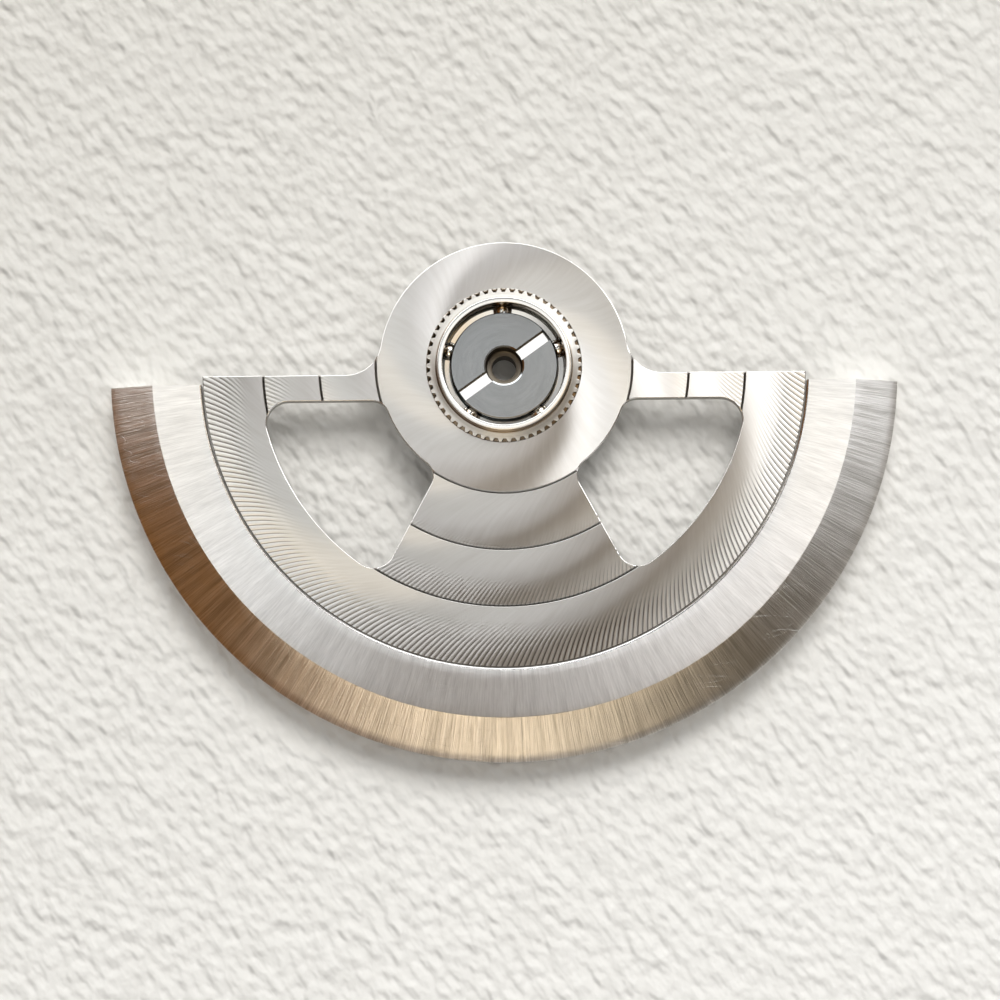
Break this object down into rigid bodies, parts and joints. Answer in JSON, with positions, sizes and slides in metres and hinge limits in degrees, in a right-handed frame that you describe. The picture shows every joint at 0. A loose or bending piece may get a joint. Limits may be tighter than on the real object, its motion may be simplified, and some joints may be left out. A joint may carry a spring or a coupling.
{
  "type": "automatic watch rotor",
  "caption": "Half-ring winding weight on a striped carrier plate, turning on a ball bearing whose slotted core screws to the movement.",
  "frame": {"origin": "on the spin axis, in the plane where the bearing core seats on the automatic bridge (top end of the mounting stud)", "axes": "+Z along the spin axis towards the decorated face; -Y towards the middle of the heavy segment at rest; +X to the right seen from above"},
  "size_m": [0.0256, 0.0168, 0.0019],
  "materials": {
    "plate_metal": "rhodium-toned plating over circular milled stripes",
    "segment_alloy": "tungsten alloy, straight radial brushing",
    "ring_steel": "polished lip, turned ledge, cut teeth",
    "screw_steel": "fine ground flat with bright chamfers",
    "cone_steel": "fine ground",
    "cage_steel": "fine turned",
    "ball_steel": "mirror polished",
    "rivet_metal": "turned"
  },
  "bodies": {
    "bearing_core": {"centre_screw": "screw_steel", "lower_cone": "cone_steel"},
    "rotor": {"weight_plate": "plate_metal", "heavy_segment": "segment_alloy", "bearing_outer_ring": "ring_steel", "segment_rivet_1": "rivet_metal", "segment_rivet_2": "rivet_metal", "segment_rivet_3": "rivet_metal", "segment_rivet_4": "rivet_metal", "segment_rivet_5": "rivet_metal"},
    "cage": {"ball_cage": "cage_steel"},
    "ball_1": {"bearing_ball_1": "ball_steel"},
    "ball_2": {"bearing_ball_2": "ball_steel"},
    "ball_3": {"bearing_ball_3": "ball_steel"},
    "ball_4": {"bearing_ball_4": "ball_steel"},
    "ball_5": {"bearing_ball_5": "ball_steel"}
  },
  "joints": [
    {"name": "rotor_spin", "type": "hinge", "parent": "bearing_core", "child": "rotor", "pos_m": [0, 0, 0], "axis": [0, 0, 1], "continuous": true},
    {"name": "cage_spin", "type": "hinge", "parent": "bearing_core", "child": "cage", "pos_m": [0, 0, 0], "axis": [0, 0, 1], "continuous": true},
    {"name": "ball_1_roll", "type": "hinge", "parent": "cage", "child": "ball_1", "pos_m": [0.00177, 0.00061, 0.00052], "axis": [0, 0, 1], "continuous": true},
    {"name": "ball_2_roll", "type": "hinge", "parent": "cage", "child": "ball_2", "pos_m": [-0.00003, 0.00187, 0.00052], "axis": [0, 0, 1], "continuous": true},
    {"name": "ball_3_roll", "type": "hinge", "parent": "cage", "child": "ball_3", "pos_m": [-0.00179, 0.00055, 0.00052], "axis": [0, 0, 1], "continuous": true},
    {"name": "ball_4_roll", "type": "hinge", "parent": "cage", "child": "ball_4", "pos_m": [-0.00107, -0.00153, 0.00052], "axis": [0, 0, 1], "continuous": true},
    {"name": "ball_5_roll", "type": "hinge", "parent": "cage", "child": "ball_5", "pos_m": [0.00113, -0.00149, 0.00052], "axis": [0, 0, 1], "continuous": true}
  ],
  "couplings": [
    {"joint": "cage_spin", "follows": "rotor_spin", "ratio": 0.5567},
    {"joint": "ball_1_roll", "follows": "rotor_spin", "ratio": 4.3509},
    {"joint": "ball_2_roll", "follows": "rotor_spin", "ratio": 4.3509},
    {"joint": "ball_3_roll", "follows": "rotor_spin", "ratio": 4.3509},
    {"joint": "ball_4_roll", "follows": "rotor_spin", "ratio": 4.3509},
    {"joint": "ball_5_roll", "follows": "rotor_spin", "ratio": 4.3509}
  ]
}
